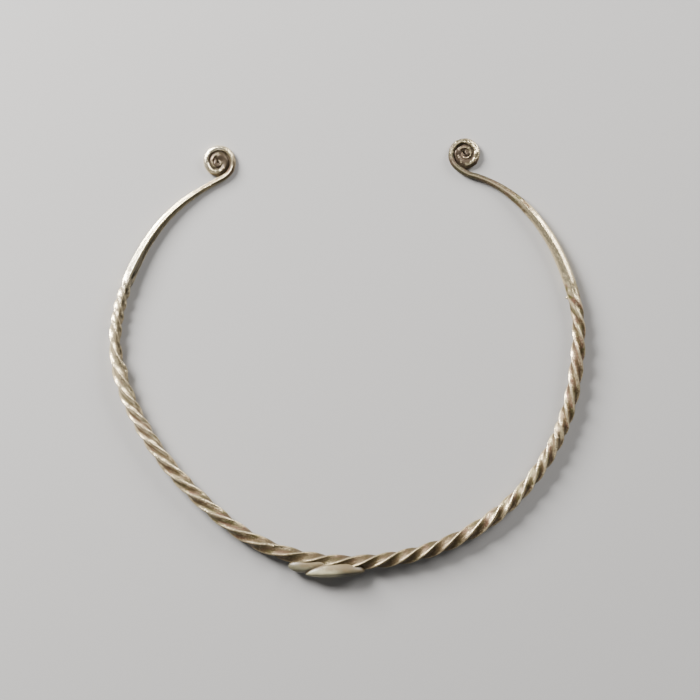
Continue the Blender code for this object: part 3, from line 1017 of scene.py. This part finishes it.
def grime_and_shade_share(tree, at):
    """Where it is darker: grime in pits and between grains, darker grooves, painted shade in dents and on
    flanks between a spiral's turns, and dirt on the earth there.
    """
    between_grains = maths(tree, "MULTIPLY", at["grainy"], spread(tree, at["fine"], 0.52, 0.62))
    grime_and_shade = maths(tree, "MAXIMUM", at["pits_and_dent_shade"], between_grains)
    grime_and_shade = maths(tree, "MAXIMUM", grime_and_shade, maths(tree, "MULTIPLY", at["grooves"], 0.45))
    return spread(tree, maths(tree, "MAXIMUM", grime_and_shade, at["gap_shade_and_dirt"]), 0.15, 0.9, 0.0, 0.85)


print("The finish has patina, bright metal, film and grime")


# %% The silver's finish
def silver_finish():
    """Silver with bright crests and stems, tan patina, and a dark film and grime that are both partly painted
    shade.
    """
    material, tree, shader = new_material("old_silver")
    at = silver_marks(tree)
    worn = worn_share(tree, at)
    silver = mix_colour(tree, spread(tree, at["shine"], 0.8, 1.0), YELLOWED_SILVER, BRIGHT_SILVER)
    film_and_shade = mix_colour(tree, at["twisted"], TARNISH_AND_SHADE_GREY, TARNISH_AND_SHADE_BROWN)
    colour = mix_colour(tree, worn, patina_colour(tree, at), silver)
    # The dark film: painted shade on flanks and in hollows, and a darker tone in places.
    colour = mix_colour(tree, film_and_shade_share(tree, at), colour, film_and_shade)
    # Grime, darker grooves, and painted shade in dents and between a spiral's turns.
    colour = mix_colour(tree, grime_and_shade_share(tree, at), colour, GRIME_AND_SHADE)
    normal = bump(tree, at["fine"], *FINE_BUMP)
    normal = bump(tree, at["streaks"], *STREAK_BUMP, Normal=normal)
    normal = bump(tree, at["grooves"], *GROOVE_BUMP, Normal=normal)
    metallic, roughness = mix_number(tree, worn, *METALLIC), mix_number(tree, worn, *ROUGHNESS)
    feed(shader, {"Base Color": colour, "Metallic": metallic, "Roughness": roughness, "Normal": normal})
    return material


torc_mesh.materials.clear()
torc_mesh.materials.append(silver_finish())
print("The ring has its silver finish")

# %% [markdown]
# ## Pale resin
#
# The splint looks like resin or putty: smooth, pale and a little waxy, so some light passes below its
# surface. Grey clouds break up its colour. It is stained brown along the bar, where shade is painted as
# well, its crease is darkened as painted shade, and painted shade darkens it towards its ends. Its mesh
# isn't twisted, so the clouds are read in Object coordinates.

# %% The splint's finish
# The third colour is painted shade for the splint's ends; on the next line, the stain also paints shade along
# the bar, and the crease colour is painted shade.
RESIN, RESIN_GREY, RESIN_SHADE = (0.335, 0.305, 0.185), (0.24, 0.215, 0.13), (0.062, 0.056, 0.034)
SEAM_STAIN_AND_SHADE, CREASE_SHADE = (0.12, 0.085, 0.042), (0.11, 0.08, 0.045)
CLOUD_SCALE, STAIN_SCALE, SKIN_SCALE = 260, 500, 1800
SKIN_BUMP = (0.1, 0.0001)
WAXINESS = {"Roughness": 0.42, "Subsurface Weight": 0.15, "Subsurface Radius": (0.002, 0.0018, 0.0012)}


def resin_finish():
    """Smooth pale resin with grey clouds, a seam of stain and painted shade, and painted shade in the crease
    and at the ends.
    """
    material, tree, shader = new_material("pale_resin")
    place = add_node(tree, "ShaderNodeTexCoord", {}, "Object")
    clouds = spread(tree, cloud(tree, place, CLOUD_SCALE), 0.4, 0.7)
    end_shade = spread(tree, attribute(tree, "end_shade"), 0.0, 1.0)
    stain_clouds = spread(tree, cloud(tree, place, STAIN_SCALE), 0.3, 0.6, 0.5, 1.0)
    stain_and_shade = maths(tree, "MULTIPLY", attribute(tree, "seam"), stain_clouds)
    crease = spread(tree, attribute(tree, "crease"), 0.2, 0.9, 0.0, 0.8)
    colour = mix_colour(tree, clouds, RESIN, RESIN_GREY)
    # Painted shade towards the splint's ends.
    colour = mix_colour(tree, end_shade, colour, RESIN_SHADE)
    # A brown stain with painted shade along the bar.
    colour = mix_colour(tree, spread(tree, stain_and_shade, 0.0, 0.9, 0.0, 0.85), colour, SEAM_STAIN_AND_SHADE)
    # Painted shade in the crease.
    colour = mix_colour(tree, crease, colour, CREASE_SHADE)
    normal = bump(tree, cloud(tree, place, SKIN_SCALE), *SKIN_BUMP)
    feed(shader, {"Base Color": colour, "Normal": normal, **WAXINESS})
    return material


splint_mesh.materials.clear()
splint_mesh.materials.append(resin_finish())
print("The splint has its finish")

# %% [markdown]
# ## Floor, light and camera
#
# The ring lies on a plain pale floor, and the camera looks straight down on it through a long lens. The
# strongest of three soft lamps stands low beyond the mouth, on its left, so the flanks that face it are
# bright. A weaker one fills in from the mouth's right, a faint one lights the front, and a pale sky
# fills the rest.

# %% Floor
FLOOR_SIZE, FLOOR_DROP = 3.0, 0.0001
FLOOR_GREY, FLOOR_ROUGHNESS = (0.31, 0.30, 0.29), 0.9


def add_floor():
    """A wide plain floor just under the ring."""
    shape = bmesh.new()
    bmesh.ops.create_grid(shape, x_segments=1, y_segments=1, size=FLOOR_SIZE / 2)
    bmesh.ops.translate(shape, verts=shape.verts, vec=(0, 0, -FLOOR_DROP))
    floor = scene_object(as_mesh("floor", shape))
    material, _, shader = new_material("pale_floor")
    feed(shader, {"Base Color": FLOOR_GREY, "Roughness": FLOOR_ROUGHNESS})
    floor.data.materials.append(material)


add_floor()
print("The floor is", FLOOR_SIZE, "m wide")

# %% Light
LAMPS = (  # name, angle from +X towards +Y, angle above the floor, size, watts
    ("key", 137, 26, 0.4, 47),
    ("fill", 42, 26, 0.4, 12),
    ("front", 262, 42, 0.5, 1.3),
)
LAMP_DISTANCE = 0.9
SKY_STRENGTH = 0.04


def add_lamp(name, compass, height, size, watts):
    """A square soft lamp that points at the middle of the floor."""
    lamp = bpy.data.lights.new(name, "AREA")
    lamp.size = size
    lamp.energy = watts
    turn, rise = math.radians(compass), math.radians(height)
    flat = LAMP_DISTANCE * math.cos(rise)
    item = scene_object(lamp)
    item.location = (flat * math.cos(turn), flat * math.sin(turn), LAMP_DISTANCE * math.sin(rise))
    item.rotation_euler = (-item.location).to_track_quat("-Z", "Y").to_euler()


for lamp in LAMPS:
    add_lamp(*lamp)
world = bpy.data.worlds.new("sky")
world.use_nodes = True
feed(world.node_tree.nodes["Background"], {"Color": (1, 1, 1), "Strength": SKY_STRENGTH})
bpy.context.scene.world = world
print(len(LAMPS), "lamps and a pale sky")

# %% Camera
CAMERA_PLACE = (0.0008, 0.0024, 0.9)
VIEW_WIDTH = 0.2201
SENSOR = 36


def add_camera():
    """A camera that looks straight down, with +Y up in the picture."""
    lens = bpy.data.cameras.new("camera")
    lens.sensor_width = SENSOR
    lens.lens = SENSOR * CAMERA_PLACE[2] / VIEW_WIDTH
    camera = scene_object(lens)
    camera.location = CAMERA_PLACE
    bpy.context.scene.camera = camera
    return camera


camera = add_camera()
print(f"The lens is {camera.data.lens:.0f} mm long")
